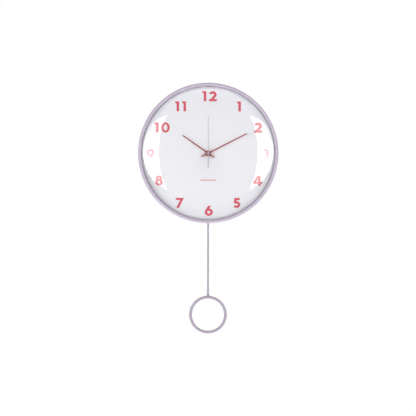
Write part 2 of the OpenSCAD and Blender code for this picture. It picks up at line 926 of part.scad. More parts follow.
centre_turn = meshed(third_a + 180, 0, third_leaves, centre_teeth);
module centre_wheel() {
    color(gear_white) difference() {
        union() {
            wheel(centre_teeth, m_centre, centre_turn, z_centre, hub = 3.4, windows = 6);
            teeth(cannon_leaves, m_cannon, 0, z_centre, z_motion + wheel_t + 0.2);
            rod(minute_pipe_r, z_centre, minute_hand_z + hand_t + 0.4);
        }
        rod(minute_pipe_in, z_centre - 1, minute_hand_z + 2);
    }
}

motion_turn = meshed(motion_a, 0, cannon_leaves, motion_teeth);
module motion_wheel() {
    color(gear_green) difference() {
        union() {
            wheel(motion_teeth, m_cannon, motion_turn, z_motion, motion_at, hub = 2.6);
            teeth(motion_leaves, m_hour, 0, z_motion, z_hour + wheel_t + 0.3, motion_at);
        }
        rod(0.8 + run_gap, z_motion - 1, z_hour + 3, motion_at);
    }
}

hour_turn = meshed(motion_a + 180, 0, motion_leaves, hour_teeth);
module hour_wheel() {
    color(gear_white) difference() {
        union() {
            wheel(hour_teeth, m_hour, hour_turn, z_hour, hub = 3.6, windows = 6);
            rod(hour_pipe_r, z_hour, hour_hand_z + hand_t + 0.4);
            rod(3.4, z_hour, base_in - 0.3);
        }
        rod(hour_pipe_in, z_hour - 1, hour_hand_z + 2);
    }
}

set_turn = meshed(set_a, motion_turn, motion_teeth, set_teeth);
knob_r = 6.5;
module set_wheel() {
    color(gear_white) {
        teeth(set_teeth, m_cannon, set_turn, z_motion, z_motion + wheel_t, set_at);
        rod(1.2, cover_back - 0.1, z_motion + 0.2, set_at);
    }
}

module set_knob() {
    notches = 24;
    z0 = case_back + 0.6;
    color([0.85, 0.85, 0.86]) difference() {
        rod(knob_r, z0, cover_back - 0.1, set_at);
        for (i = [0:notches - 1]) rod(0.45, z0 - 1, cover_back + 1, set_at + at(knob_r, i * 360 / notches));
        rod(4.2, z0 - 1, z0 + 0.6, set_at);
    }
}

// ---------------------------------------------------------------- hands

module blade(len, tail, w0, w1) {
    polygon([[-w0 / 2, -tail], [w0 / 2, -tail], [w0 / 2, 0], [w1 / 2, len], [-w1 / 2, len], [-w0 / 2, 0]]);
}

module hand(angle, z, len, tail, hub, bore) {
    rotate(-angle) difference() {
        union() {
            translate([0, 0, z]) linear_extrude(hand_t) blade(len, tail, hand_w, hand_w * 0.85);
            rod(hub, z, z + hand_t);
        }
        rod(bore, z - 1, z + 2);
    }
}

module hour_hand() {
    color(hand_red) hand(hour_angle, hour_hand_z, hour_len, hour_tail, hub_r, hour_pipe_r + fit_gap);
}

module minute_hand() {
    color(hand_red) hand(minute_angle, minute_hand_z, minute_len, minute_tail, hub_r - 0.6,
        minute_pipe_r + fit_gap);
}

module second_hand() {
    tip_w = 0.7;
    root_w = 1.4;
    tail_w = 1.9;
    color(lilac) difference() {
        union() {
            translate([0, 0, second_hand_z]) linear_extrude(hand_t) polygon([
                [-tail_w / 2, -second_tail], [tail_w / 2, -second_tail], [tail_w / 2, 0], [root_w / 2, 0],
                [tip_w / 2, second_len], [-tip_w / 2, second_len], [-root_w / 2, 0], [-tail_w / 2, 0]
            ]);
            rod(cap_r, second_hand_z, second_hand_z + hand_t + 1.2);
        }
        rod(arbor_r + fit_gap, second_hand_z - 1, second_hand_z + hand_t + 0.6);
    }
}

// ---------------------------------------------------------------- pendulum

module pendulum_arm() {
    z1 = arm_z + arm_t;
    color(gear_white) difference() {
        union() {
            pad(-arm_w / 2, hook_y - 4, arm_w / 2, pivot_y + 4, arm_z, z1, 3);
            rod(3.4, arm_z - 2.6, z1, [0, pivot_y]);
            rod(magnet_r + 1.2, arm_z, z1, [0, magnet_y]);
            rod(hook_pin_r, rod_z - eye_t / 2 - 1.4, arm_z + eps, [0, hook_y]);
            rod(hook_pin_r, rod_z - eye_t / 2 - 1.4, rod_z - eye_t / 2 - 0.5, [0, hook_y + hook_nose]);
        }
        rod(pin_r + run_gap, arm_z - 4, z1 + 1, [0, pivot_y]);
        rod(magnet_r + fit_gap, arm_z + 0.8, z1 + 1, [0, magnet_y]);
    }
}

module pendulum_magnet() {
    color([0.55, 0.56, 0.60]) rod(magnet_r, arm_z + 0.8, arm_z + arm_t + 0.6, [0, magnet_y]);
}

module pendulum_rod() {
    low = -pendulum_drop + ring_d / 2 - 0.6;
    top = hook_y - hook_slot - eye_r + 0.6;
    hole_r = hook_pin_r + 0.1;
    color(lilac) difference() {
        union() {
            translate([0, low, rod_z]) rotate([-90, 0, 0]) cylinder(r = rod_d / 2, h = top - low);
            for (y = [hook_y, hook_y - hook_slot]) rod(eye_r, rod_z - eye_t / 2, rod_z + eye_t / 2, [0, y]);
            slab(-eye_r, hook_y - hook_slot, eye_r, hook_y, rod_z - eye_t / 2, rod_z + eye_t / 2);
        }
        for (y = [hook_y, hook_y - hook_slot]) rod(hole_r, rod_z - 4, rod_z + 4, [0, y]);
        slab(-hole_r, hook_y - hook_slot, hole_r, hook_y, rod_z - 4, rod_z + 4);
        translate([0, -pendulum_drop, rod_z]) ring_body();
    }
}

module ring_body() {
    rotate_extrude() translate([ring_r, 0]) circle(ring_bar / 2);
}

// Small cone that joins the rod to the ring
module ring_ferrule() {
    top = -pendulum_drop + ring_d / 2 + ferrule_h - 0.6;
    color(lilac) difference() {
        translate([0, top, rod_z]) rotate([90, 0, 0])
            cylinder(r1 = rod_d / 2 + 0.3, r2 = ferrule_r, h = ferrule_h);
        translate([0, top + 1, rod_z]) rotate([90, 0, 0]) cylinder(r = rod_d / 2 + fit_gap, h = ferrule_h + 2);
        translate([0, -pendulum_drop, rod_z]) ring_body();
    }
}

module pendulum_ring() {
    color(lilac) translate([0, -pendulum_drop, rod_z]) ring_body();
}

// ---------------------------------------------------------------- what is drawn

in_frame() case_shell();
in_frame() mounting_lugs();
in_frame() lug_screws();
in_frame() glass_dome();
in_frame() glass_gasket();
in_frame() spacer_ring();
in_frame() dial_plate();
in_frame() hour_numerals();
in_frame() dial_mark();
in_frame() wall_bumpers();
in_frame() movement_base();
in_frame() movement_cover();
in_frame() pendulum_cover();
in_frame() cover_screws();
in_frame() shaft_bush();
in_frame() bush_nut();
in_frame() bush_washer();
in_frame() cushion_washer();
in_frame() hanger_plate();
in_frame() hanger_screws();
in_frame() rear_bridge();
in_frame() middle_plate();
in_frame() circuit_board();
in_frame() quartz_crystal();
in_frame() driver_chip();
in_frame() motor_bobbin();
in_frame() motor_winding();
in_frame() coil_core();
in_frame() stator_plate();
in_frame() battery();
in_frame() contact_positive();
in_frame() contact_negative();
in_frame() rotor_magnet();
in_frame() rotor_pinion();
in_frame() intermediate_wheel();
in_frame() second_wheel();
in_frame() second_hand();
in_frame() third_wheel();
in_frame() centre_wheel();
in_frame() minute_hand();
in_frame() motion_wheel();
in_frame() hour_wheel();
in_frame() hour_hand();
in_frame() set_wheel();
in_frame() set_knob();
in_frame() pendulum_bobbin();
in_frame() pendulum_coil();
in_frame() pivot_pin();
in_frame() pendulum_arm();
in_frame() pendulum_magnet();
in_frame() pendulum_rod();
in_frame() ring_ferrule();
in_frame() pendulum_ring();
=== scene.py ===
import json
import math

import bmesh
import bpy
import numpy as np
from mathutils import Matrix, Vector


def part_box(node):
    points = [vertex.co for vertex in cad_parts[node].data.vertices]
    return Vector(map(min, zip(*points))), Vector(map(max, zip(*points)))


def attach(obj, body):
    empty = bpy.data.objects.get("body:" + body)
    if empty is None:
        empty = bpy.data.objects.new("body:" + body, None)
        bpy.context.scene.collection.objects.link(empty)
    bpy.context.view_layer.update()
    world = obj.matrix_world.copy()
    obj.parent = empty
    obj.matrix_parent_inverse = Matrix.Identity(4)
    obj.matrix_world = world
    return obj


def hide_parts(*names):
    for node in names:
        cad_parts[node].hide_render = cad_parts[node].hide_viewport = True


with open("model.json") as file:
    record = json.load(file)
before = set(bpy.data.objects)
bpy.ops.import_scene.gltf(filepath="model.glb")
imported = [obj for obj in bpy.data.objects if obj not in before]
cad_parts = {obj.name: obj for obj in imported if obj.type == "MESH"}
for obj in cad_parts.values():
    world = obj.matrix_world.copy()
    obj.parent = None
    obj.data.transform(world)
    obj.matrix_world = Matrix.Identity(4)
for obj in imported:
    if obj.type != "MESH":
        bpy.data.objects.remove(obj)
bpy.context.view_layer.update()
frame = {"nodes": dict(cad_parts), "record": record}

# ---------------------------------------------------------------- case
# The case is one disc of steel spun over a form into a shallow drum with a rolled bezel. Its
# rear edge is folded back on itself, a notch is cut in the wall at the bottom for the
# pendulum rod to swing in, and the whole is powder-coated lilac.

MM = 0.001
dial_axis = sum(corner.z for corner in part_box("case_shell")) / 2


def reach(node):
    """A CAD node's extent in millimetres as (left, right), (low, high) from the dial axis and
    (rear, front) from the back of the hanger plate."""
    low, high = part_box(node)
    return ((low.x / MM, high.x / MM),
            ((low.z - dial_axis) / MM, (high.z - dial_axis) / MM),
            (-high.y / MM, -low.y / MM))


def place(x, up, front):
    """Points in metres from arrays of millimetres to the right of the dial axis, up from it
    and forwards from the hanger plate."""
    x, up, front = np.broadcast_arrays(x, up, front)
    return np.stack([x * MM, -front * MM, up * MM + dial_axis], -1)


def quads(rows, columns, ring=True, loop=False):
    """The faces of a grid of points stored row by row. Each joins a point to its right
    neighbour and to the two in the next row. A ring joins the last column to the first, and
    a loop the last row to the first."""
    r = np.arange(rows if loop else rows - 1)[:, None]
    c = np.arange(columns if ring else columns - 1)[None, :]
    below, right = (r + 1) % rows, (c + 1) % columns
    return np.stack([r * columns + c, r * columns + right,
                     below * columns + right, below * columns + c], -1).reshape(-1, 4)


node_body = {node: body for body, nodes in frame["record"]["behaviour"]["bodies"].items()
             for node in nodes}


def piece(name, shapes, materials, nodes, crease=32):
    """A mesh object from a list of (points, faces) shapes, each with the material of the same
    place in materials. It stands for the CAD nodes and rides on their body. Faces are turned
    round where the volume within them, the sum of p0 . (p1 x p2) / 6, is negative."""
    mesh = bpy.data.meshes.new(name)
    build = bmesh.new()
    for number, (points, faces) in enumerate(shapes):
        part = bpy.data.meshes.new("part")
        part.from_pydata(points.reshape(-1, 3), [], faces)
        joined = bmesh.new()
        joined.from_mesh(part)
        bmesh.ops.remove_doubles(joined, verts=joined.verts, dist=1e-6)
        if joined.calc_volume(signed=True) < 0:
            bmesh.ops.reverse_faces(joined, faces=joined.faces)
        joined.to_mesh(part)
        joined.free()
        slot_number = np.full(len(part.polygons), number % len(materials))
        part.polygons.foreach_set("material_index", slot_number)
        build.from_mesh(part)
        bpy.data.meshes.remove(part)
    build.to_mesh(mesh)
    build.free()
    for material in materials:
        mesh.materials.append(material)
    mesh.shade_smooth()
    mesh.set_sharp_from_angle(angle=math.radians(crease))
    obj = bpy.data.objects.new(name, mesh)
    bpy.context.scene.collection.objects.link(obj)
    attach(obj, node_body[nodes[0]])
    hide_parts(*nodes)
    return obj


def rounded(corners, radii, steps=5):
    """A closed outline with its corners eased. Each corner becomes a curve from a point on the
    edge before it to one on the edge after it, both at its radius from the corner or at most
    0.45 of the edge, with the corner as the curve's control point."""
    corners = np.asarray(corners, float)
    before, after = np.roll(corners, 1, 0) - corners, np.roll(corners, -1, 0) - corners
    long_before, long_after = np.linalg.norm(before, axis=1), np.linalg.norm(after, axis=1)
    reach_in = np.minimum(np.broadcast_to(radii, len(corners)),
                          0.45 * np.minimum(long_before, long_after))[:, None]
    start = corners + before / long_before[:, None] * reach_in
    end = corners + after / long_after[:, None] * reach_in
    t = np.linspace(0, 1, steps)[None, :, None]
    curve = (1 - t) ** 2 * start[:, None] + 2 * t * (1 - t) * corners[:, None] + t ** 2 * end[:, None]
    return curve.reshape(-1, 2)


def turned(outline, columns=192, centre=(0, 0, 0), along="front", loop=True):
    """An outline of (radius, height) points carried round an axis through centre, which points
    to the front, to the right or up: a point at angle a stands radius sin(a) to one side and
    radius cos(a) to the other. An outline that starts and ends on the axis isn't a loop."""
    a = np.linspace(0, 2 * np.pi, columns, endpoint=False)[None, :]
    outline = np.asarray(outline, float)
    side, other = outline[:, :1] * np.sin(a), outline[:, :1] * np.cos(a)
    height = outline[:, 1:] + 0 * a
    x, up, front = {"front": (side, other, height), "right": (height, side, other),
                    "up": (side, height, other)}[along]
    points = place(centre[0] + x, centre[1] + up, centre[2] + front)
    return points, quads(len(outline), columns, loop=loop)


def finish(name, colour, rough, shade=0.03, patch=0.03, metal=0.0, grain=0.0004, depth=0.01,
           stretch=(1, 1, 1), **sockets):
    """A material on Object coordinates. A slow noise with cells of size patch moves the colour
    by the share shade and the roughness between two values, and a fine noise with cells of
    size grain, longer along a stretched axis, raises the surface by depth millimetres."""
    material = bpy.data.materials.new(name)
    material.use_nodes = True
    tree = material.node_tree
    shader = tree.nodes["Principled BSDF"]
    place_at = tree.nodes.new("ShaderNodeTexCoord")
    mapping = tree.nodes.new("ShaderNodeMapping")
    mapping.inputs["Scale"].default_value = [1 / s for s in stretch]
    slow, fine = tree.nodes.new("ShaderNodeTexNoise"), tree.nodes.new("ShaderNodeTexNoise")
    slow.inputs["Scale"].default_value, slow.inputs["Detail"].default_value = 1 / patch, 3
    fine.inputs["Scale"].default_value, fine.inputs["Detail"].default_value = 1 / grain, 2
    mix = tree.nodes.new("ShaderNodeMix")
    mix.data_type = "RGBA"
    mix.inputs["A"].default_value = [c * (1 - shade) for c in colour] + [1]
    mix.inputs["B"].default_value = [min(c * (1 + shade), 1) for c in colour] + [1]
    spread = tree.nodes.new("ShaderNodeMapRange")
    spread.inputs["From Min"].default_value, spread.inputs["From Max"].default_value = 0.3, 0.7
    spread.inputs["To Min"].default_value, spread.inputs["To Max"].default_value = rough
    bump = tree.nodes.new("ShaderNodeBump")
    bump.inputs["Distance"].default_value = depth * MM
    link = tree.links.new
    link(place_at.outputs["Object"], slow.inputs["Vector"])
    link(place_at.outputs["Object"], mapping.inputs["Vector"])
    link(mapping.outputs["Vector"], fine.inputs["Vector"])
    link(slow.outputs["Fac"], mix.inputs["Factor"])
    link(mix.outputs["Result"], shader.inputs["Base Color"])
    link(slow.outputs["Fac"], spread.inputs["Value"])
    link(spread.outputs["Result"], shader.inputs["Roughness"])
    link(fine.outputs["Fac"], bump.inputs["Height"])
    link(bump.outputs["Normal"], shader.inputs["Normal"])
    shader.inputs["Metallic"].default_value = metal
    for socket, value in sockets.items():
        shader.inputs[socket.replace("_", " ")].default_value = value
    return material


def srgb(r, g, b):
    """Linear colour from 0 to 255 display values."""
    v = np.array([r, g, b]) / 255
    return tuple(np.where(v <= 0.04045, v / 12.92, ((v + 0.055) / 1.055) ** 2.4))


LILAC = srgb(188, 177, 196)
lilac_paint = finish("lilac_powder_coat", LILAC, (0.34, 0.44), shade=0.025, patch=0.05,
                     grain=0.0009, depth=0.03, Specular_IOR_Level=0.5)

(_, case_r), _, (case_back, crest) = reach("case_shell")
sheet = 1.2
bezel = 6.8
lip_deep = 1.6
hem_high = 5
roll = bezel / 2
lip_r = case_r - bezel
notch_front, notch_half, notch_corner = 13, 16.15, 3

# The section runs over the bezel, round the lip and back inside, then round the folded edge.
over = np.linspace(0, np.pi, 30)
outer_roll = np.stack([case_r - roll + roll * np.cos(over), crest - roll + roll * np.sin(over)], -1)
inner_roll = np.stack([case_r - roll - (roll - sheet) * np.cos(over),
                       crest - roll + (roll - sheet) * np.sin(over)], -1)
lip_edge = rounded([[lip_r, crest - roll - 0.2], [lip_r, crest - roll - lip_deep],
                    [lip_r + sheet, crest - roll - lip_deep], [lip_r + sheet, crest - roll - 0.2]],
                   [0.01, 0.35, 0.35, 0.01])
hem_top = case_back + hem_high
fold = np.linspace(np.pi, 2 * np.pi, 10)
hem_fold = np.stack([case_r - sheet + sheet * np.cos(fold),
                     case_back + sheet + sheet * np.sin(fold)], -1)
section = np.concatenate([
    outer_roll, lip_edge, inner_roll,
    [[case_r - sheet, hem_top + 4], [case_r - sheet, hem_top],
     [case_r - 2 * sheet + 0.3, hem_top], [case_r - 2 * sheet, hem_top - 0.3]], hem_fold,
    [[case_r, hem_top], [case_r, notch_front]]])
from_wall = np.abs(section[:, 0] - (case_r - sheet))
in_hem = (section[:, 1] <= hem_top) & (section[:, 0] < case_r) & (from_wall > 1e-6)

# Columns go round from six o'clock. At the notch the rear edge steps forward round two
# corners, and the wall has no folded edge there.
quarter = np.linspace(0, np.pi / 2, 9)
half_x = np.concatenate([[notch_half + 0.04, notch_half + 0.02],
                         notch_half - notch_corner * (1 - np.cos(quarter)), [9, 5, 1]])
half_rear = np.concatenate([[case_back, case_back],
                            notch_front - notch_corner * (1 - np.sin(quarter)),
                            np.full(3, notch_front)])
plain = np.linspace(-np.pi, np.pi, 288, endpoint=False)
plain = plain[np.abs(plain) > math.asin(notch_half / case_r) + 0.004]
from_low = np.concatenate([plain, np.arcsin(half_x / case_r), -np.arcsin(half_x / case_r)])
rear = np.concatenate([np.full(len(plain), case_back), half_rear, half_rear])
half_hemmed = np.arange(len(half_x)) < 1
hemmed = np.concatenate([np.ones(len(plain)), half_hemmed, half_hemmed])
order = np.argsort(from_low)
from_low, rear, hemmed = from_low[order], rear[order], hemmed[order]

wall_r = np.where(in_hem[:, None] & (hemmed[None, :] < 1),
                  case_r - (case_r - section[:, 0][:, None]) / 2, section[:, 0][:, None])
wall_front = np.maximum(section[:, 1][:, None], rear[None, :])
case_points = place(-wall_r * np.sin(from_low), -wall_r * np.cos(from_low), wall_front)
piece("case_spun_shell", [(case_points, quads(*wall_r.shape, loop=True))], [lilac_paint],
      ["case_shell"], crease=40)

# ---------------------------------------------------------------- rubber feet
# Three soft rubber feet are pushed over the folded rear edge, one at the top and two low
# down. They keep the clock parallel to the wall.


def swept(outline, angles):
    """A closed outline of (radius, front) points carried along an arc of the dial's circle,
    with the angles clockwise from twelve, and closed by its first and last sections."""
    angles = np.asarray(angles)[:, None]
    points = place(outline[:, 0] * np.sin(angles), outline[:, 0] * np.cos(angles),
                   outline[:, 1] + 0 * angles)
    rows, count = len(angles), len(outline)
    ends = [list(range(count)), list(range(count * rows - 1, count * (rows - 1) - 1, -1))]
    return points, quads(rows, count).tolist() + ends


black_rubber = finish("black_rubber", (0.022, 0.022, 0.024), (0.62, 0.78), shade=0.12,
                      patch=0.006, grain=0.0003, depth=0.02)
foot_back, foot_top = reach("wall_bumpers")[2][0], hem_top - 0.5
foot_in, foot_out, groove = case_r - 4.6, case_r - 0.3, case_r - 2.45
edge_back = case_back - 0.02
foot_section = rounded([
    [foot_in, foot_back], [foot_out, foot_back], [foot_out, edge_back], [groove, edge_back],
    [groove, foot_top], [foot_in, foot_top]], [0.9, 0.7, 0.3, 0.05, 0.5, 0.7])
foot_arc = np.linspace(-math.radians(4.5), math.radians(4.5), 14)
foot_arcs = [foot_arc + math.radians(a) for a in (0, 125, 235)]
piece("wall_feet_rubber", [swept(foot_section, arc) for arc in foot_arcs], [black_rubber],
      ["wall_bumpers"])

# ---------------------------------------------------------------- glass
# The front is a disc of float glass, 2 mm thick, slumped to a shallow dome. Its rim is
# ground round and sits in the rubber channel behind the bezel's lip.


def clear_glass_material():
    """Glass thin enough not to bend what is behind it. The share that it mirrors grows from
    0.04 head on by 0.96 times the fifth power of how edge-on the surface is seen."""
    material = bpy.data.materials.new("clear_dome_glass")
    material.use_nodes = True
    tree = material.node_tree
    tree.nodes.remove(tree.nodes["Principled BSDF"])
    through = tree.nodes.new("ShaderNodeBsdfTransparent")
    mirror = tree.nodes.new("ShaderNodeBsdfGlossy")
    through.inputs["Color"].default_value = (0.99, 0.993, 0.992, 1)
    mirror.inputs["Roughness"].default_value = 0.0
    facing = tree.nodes.new("ShaderNodeLayerWeight")
    power, share = tree.nodes.new("ShaderNodeMath"), tree.nodes.new("ShaderNodeMath")
    power.operation, share.operation = "POWER", "MULTIPLY_ADD"
    power.inputs[1].default_value = 5
    share.inputs[1].default_value, share.inputs[2].default_value = 0.96, 0.04
    mix = tree.nodes.new("ShaderNodeMixShader")
    wave, ripple = tree.nodes.new("ShaderNodeTexNoise"), tree.nodes.new("ShaderNodeBump")
    place_at = tree.nodes.new("ShaderNodeTexCoord")
    wave.inputs["Scale"].default_value, wave.inputs["Detail"].default_value = 9, 0
    ripple.inputs["Distance"].default_value = 0.02 * MM
    link = tree.links.new
    link(place_at.outputs["Object"], wave.inputs["Vector"])
    link(wave.outputs["Fac"], ripple.inputs["Height"])
    link(ripple.outputs["Normal"], mirror.inputs["Normal"])
    link(facing.outputs["Facing"], power.inputs[0])
    link(power.outputs[0], share.inputs[0])
    link(share.outputs[0], mix.inputs["Fac"])
    link(through.outputs[0], mix.inputs[1])
    link(mirror.outputs[0], mix.inputs[2])
    link(mix.outputs[0], tree.nodes["Material Output"].inputs["Surface"])
    return material


glass_thick, glass_rise = 2, 22
(_, glass_r), _, (_, glass_top) = reach("glass_dome")
glass_curve = (glass_r ** 2 + glass_rise ** 2) / (2 * glass_rise)


def glass_front(r, behind=0):
    """How far forward a face of the dome stands at radius r: the height of a sphere of the
    dome's curve, less the depth behind its outer face."""
    return glass_top - glass_curve + np.sqrt((glass_curve - behind) ** 2 - r ** 2)


rim_ease = 0.5
rim_r = glass_r - rim_ease
# Rings are closer together near the rim, where the dome is steepest.
out = np.sin(np.linspace(0, np.pi / 2, 60)) * rim_r
rim_angle = np.linspace(0, np.pi, 9)[1:-1]
rim_mid = glass_front(rim_r, glass_thick / 2)
rim = np.stack([rim_r + rim_ease * np.sin(rim_angle),
                rim_mid + np.cos(rim_angle) * glass_thick / 2], -1)
dome_outline = np.concatenate([np.stack([out, glass_front(out)], -1), rim,
                               np.stack([out, glass_front(out, glass_thick)], -1)[::-1]])
piece("domed_glass", [turned(dome_outline, 256, loop=False)], [clear_glass_material()],
      ["glass_dome"], crease=60)

# ---------------------------------------------------------------- glass seating
# A channel of grey rubber goes round the glass. Behind it a moulded ring stands on the dial,
# with four bosses that take the screws from the lugs and pull the stack up to the lip.
seat_rubber = finish("grey_channel_rubber", srgb(212, 210, 216), (0.55, 0.7), shade=0.08,
                     patch=0.01, grain=0.0004, depth=0.02)
spacer_plastic = finish("grey_spacer_moulding", srgb(226, 224, 230), (0.42, 0.52), shade=0.03,
                        patch=0.02, grain=0.0005, depth=0.008)
(_, seat_out), _, (seat_back, seat_front) = reach("glass_gasket")
(_, stack_r), _, (dial_face, _) = reach("spacer_ring")
seat_in, slot_r, rear_leg = lip_r + 0.1, glass_r + 0.05, lip_r + 0.7
seat_gap = 0.02
channel = rounded([
    [seat_in, seat_front], [seat_in, glass_front(seat_in) + seat_gap],
    [slot_r, glass_front(slot_r) + seat_gap], [slot_r, glass_front(slot_r, glass_thick) - seat_gap],
    [rear_leg, glass_front(rear_leg, glass_thick) - seat_gap], [rear_leg, seat_back],
    [seat_out, seat_back], [seat_out, seat_front]], [0.3, 0.15, 0.1, 0.1, 0.3, 0.3, 0.4, 0.4])
piece("glass_channel", [turned(channel, 240)], [seat_rubber], ["glass_gasket"])

ring_wall, foot_thick, flange_thick, wall_tall = 1.4, 1.5, 1.2, 7.3
wall_lean = 2.2 / (glass_top - dial_face)
wall_low = lip_r - 3
wall_high = wall_low + wall_lean * wall_tall
touch = glass_front(wall_high, glass_thick) - 0.05
flange_in, flange_top = wall_high + ring_wall - 0.2, seat_back - seat_gap
spacer_section = rounded([
    [wall_low, dial_face], [stack_r, dial_face], [stack_r, dial_face + foot_thick],
    [wall_low + ring_wall + 0.15, dial_face + foot_thick], [flange_in, flange_top - flange_thick],
    [stack_r, flange_top - flange_thick], [stack_r, flange_top], [flange_in + 0.1, flange_top],
    [wall_high + ring_wall, touch - 0.45], [wall_high, touch]],
    [0.15, 0.3, 0.4, 0.5, 0.4, 0.3, 0.3, 0.2, 0.3, 0.3])
boss_top = flange_top - flange_thick / 2
boss_at = [math.radians(a) for a in (45, 135, 225, 315)]
boss_far, boss_r, boss_bore = lip_r + 1.4, 2.7, 0.9
boss_section = rounded([[boss_bore, dial_face], [boss_r, dial_face], [boss_r - 0.1, boss_top],
                        [boss_bore, boss_top]], [0.05, 0.05, 0.35, 0.1])
bosses = [turned(boss_section, 24, (boss_far * math.sin(a), boss_far * math.cos(a), 0))
          for a in boss_at]
piece("spacer_moulding", [turned(spacer_section, 240)] + bosses, [spacer_plastic],
      ["spacer_ring"])

# ---------------------------------------------------------------- dial
# The dial is a sheet-steel disc, stove-enamelled matt white on the front and left bare and
# zinc-plated on the back. Numerals and rule are screen-printed in coral red.
dial_enamel = finish("dial_white_enamel", srgb(236, 235, 240), (0.5, 0.6), shade=0.006,
                     patch=0.08, grain=0.0006, depth=0.004)
zinc_sheet = finish("zinc_plated_sheet", (0.62, 0.63, 0.64), (0.4, 0.46), shade=0.03,
                    patch=0.05, metal=1.0, grain=0.0005, depth=0.004, stretch=(12, 1, 1))
dial_back = reach("dial_plate")[2][0]
coat = 0.08
dial_hole = 4.1
enamel_skin = rounded([[dial_hole, dial_face - coat], [stack_r, dial_face - coat],
                       [stack_r, dial_face], [dial_hole, dial_face]], 0.03, steps=3)
steel_disc = rounded([[dial_hole, dial_back], [stack_r, dial_back], [stack_r, dial_face - coat],
                      [dial_hole, dial_face - coat]], [0.1, 0.15, 0.03, 0.03], steps=4)
piece("dial_disc", [turned(enamel_skin, 240), turned(steel_disc, 240)], [dial_enamel, zinc_sheet],
      ["dial_plate"])


def dress(material, slot, *nodes):
    """CAD nodes whose shape is already right take a material as it stands."""
    for node in nodes:
        for holder in frame["nodes"][node].material_slots:
            holder.link = "OBJECT"
            holder.material = material


coral_ink = finish("coral_dial_ink", srgb(208, 66, 86), (0.4, 0.55), shade=0.05, patch=0.004,
                   grain=0.0002, depth=0.006)
dress(coral_ink, "dial_ink", "hour_numerals", "dial_mark")

# ---------------------------------------------------------------- lugs and screws
# Four steel angles are spot-welded inside the wall. A pan-head screw goes through each, then
# through the dial, into a boss of the spacer ring.


def eased(node, material, ease=0.15, crease=30, steps=2):
    """A copy of a CAD node's mesh with its loose triangles joined, its flat faces made whole
    and its edges rounded by ease millimetres. It stands for the node."""
    mesh = frame["nodes"][node].data.copy()
    work = bmesh.new()
    work.from_mesh(mesh)
    bmesh.ops.remove_doubles(work, verts=work.verts, dist=1e-6)
    bmesh.ops.dissolve_limit(work, angle_limit=math.radians(0.3), verts=work.verts,
                             edges=work.edges)
    work.to_mesh(mesh)
    work.free()
    mesh.materials.clear()
    mesh.materials.append(material)
    mesh.shade_smooth()
    mesh.set_sharp_from_angle(angle=math.radians(crease))
    obj = bpy.data.objects.new(node + "_eased", mesh)
    bpy.context.scene.collection.objects.link(obj)
    if ease:
        edges = obj.modifiers.new("eased edges", "BEVEL")
        edges.width, edges.segments = ease * MM, steps
        edges.limit_method, edges.angle_limit = "ANGLE", math.radians(crease + 5)
        edges.harden_normals = True
    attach(obj, node_body[node])
    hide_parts(node)
    return obj


bright_steel = finish("zinc_bright_steel", (0.62, 0.63, 0.64), (0.24, 0.38), shade=0.06,
                      patch=0.004, metal=1.0, grain=0.0003, depth=0.003)
eased("mounting_lugs", zinc_sheet, ease=0.2)
eased("lug_screws", bright_steel, ease=0.12)

# ---------------------------------------------------------------- hands
# Hour and minute hands are blanked from thin aluminium and lacquered a brownish red. The
# seconds hand is a fine needle with a broader counterweight, lacquered pale grey-lilac, and
# has a small turned cap. Each is pressed on its own pipe of the movement.


def blade(angle, stations, widths, rear, thick):
    """A thin bar lying flat at an angle clockwise from twelve. Its section is a rounded
    rectangle with a slightly crowned front, as wide at each station along it as widths says."""
    u = np.linspace(0, 2 * np.pi, 16, endpoint=False)
    across = np.sign(np.cos(u)) * np.abs(np.cos(u)) ** 0.35
    lift = np.sign(np.sin(u)) * np.abs(np.sin(u)) ** 0.45
    lift = rear + thick / 2 * (1 + lift * np.where(lift > 0, 1 + 0.12 * (1 - across ** 2), 1))
    s, w = np.asarray(stations, float)[:, None], np.asarray(widths, float)[:, None] / 2
    x = s * math.sin(angle) + w * across * math.cos(angle)
    up = s * math.cos(angle) - w * across * math.sin(angle)
    rows, count = len(s), len(u)
    ends = [list(range(count)), list(range(count * rows - 1, count * (rows - 1) - 1, -1))]
    return place(x, up, lift + 0 * s), quads(rows, count).tolist() + ends


def hub(inner, outer, rear, thick, collar, rise):
    """A round hub with a raised collar around its bore, as a turned outline."""
    outline = [[inner, rear], [outer, rear], [outer, rear + thick], [collar, rear + thick],
               [collar - 0.15, rear + rise], [inner, rear + rise]]
    return turned(rounded(outline, [0.05, 0.15, 0.15, 0.2, 0.15, 0.08]), 64)


hand_paint = finish("red_hand_lacquer", srgb(152, 8, 8), (0.45, 0.55), shade=0.04, patch=0.006,
                    grain=0.0003, depth=0.004, Specular_IOR_Level=0.25)
needle_paint = finish("grey_lilac_lacquer", srgb(168, 158, 176), (0.32, 0.42), shade=0.03,
                      patch=0.006, grain=0.0003, depth=0.004)
hour_angle, minute_angle = math.radians(305), math.radians(63)
hand_thick, hand_wide, collar_rise = 0.6, 2.6, 0.95
hour_rear = reach("hour_hand")[2][0]
minute_rear = reach("minute_hand")[2][0]
_, (needle_tail, needle_tip), (second_rear, cap_front) = reach("second_hand")
hour_long, hour_tail, minute_long, minute_tail = 67, 16, 93, 17


def hand_stations(tail, long):
    """Stations and widths of a straight hand: full width to the hub, then a slight taper to
    0.85 of it, with both ends drawn in over the last 0.2 mm."""
    stations = np.array([-tail, -tail + 0.2, 0, long * 0.5, long - 0.2, long])
    return stations, hand_wide * np.array([0.9, 1, 1, 0.925, 0.85, 0.77])


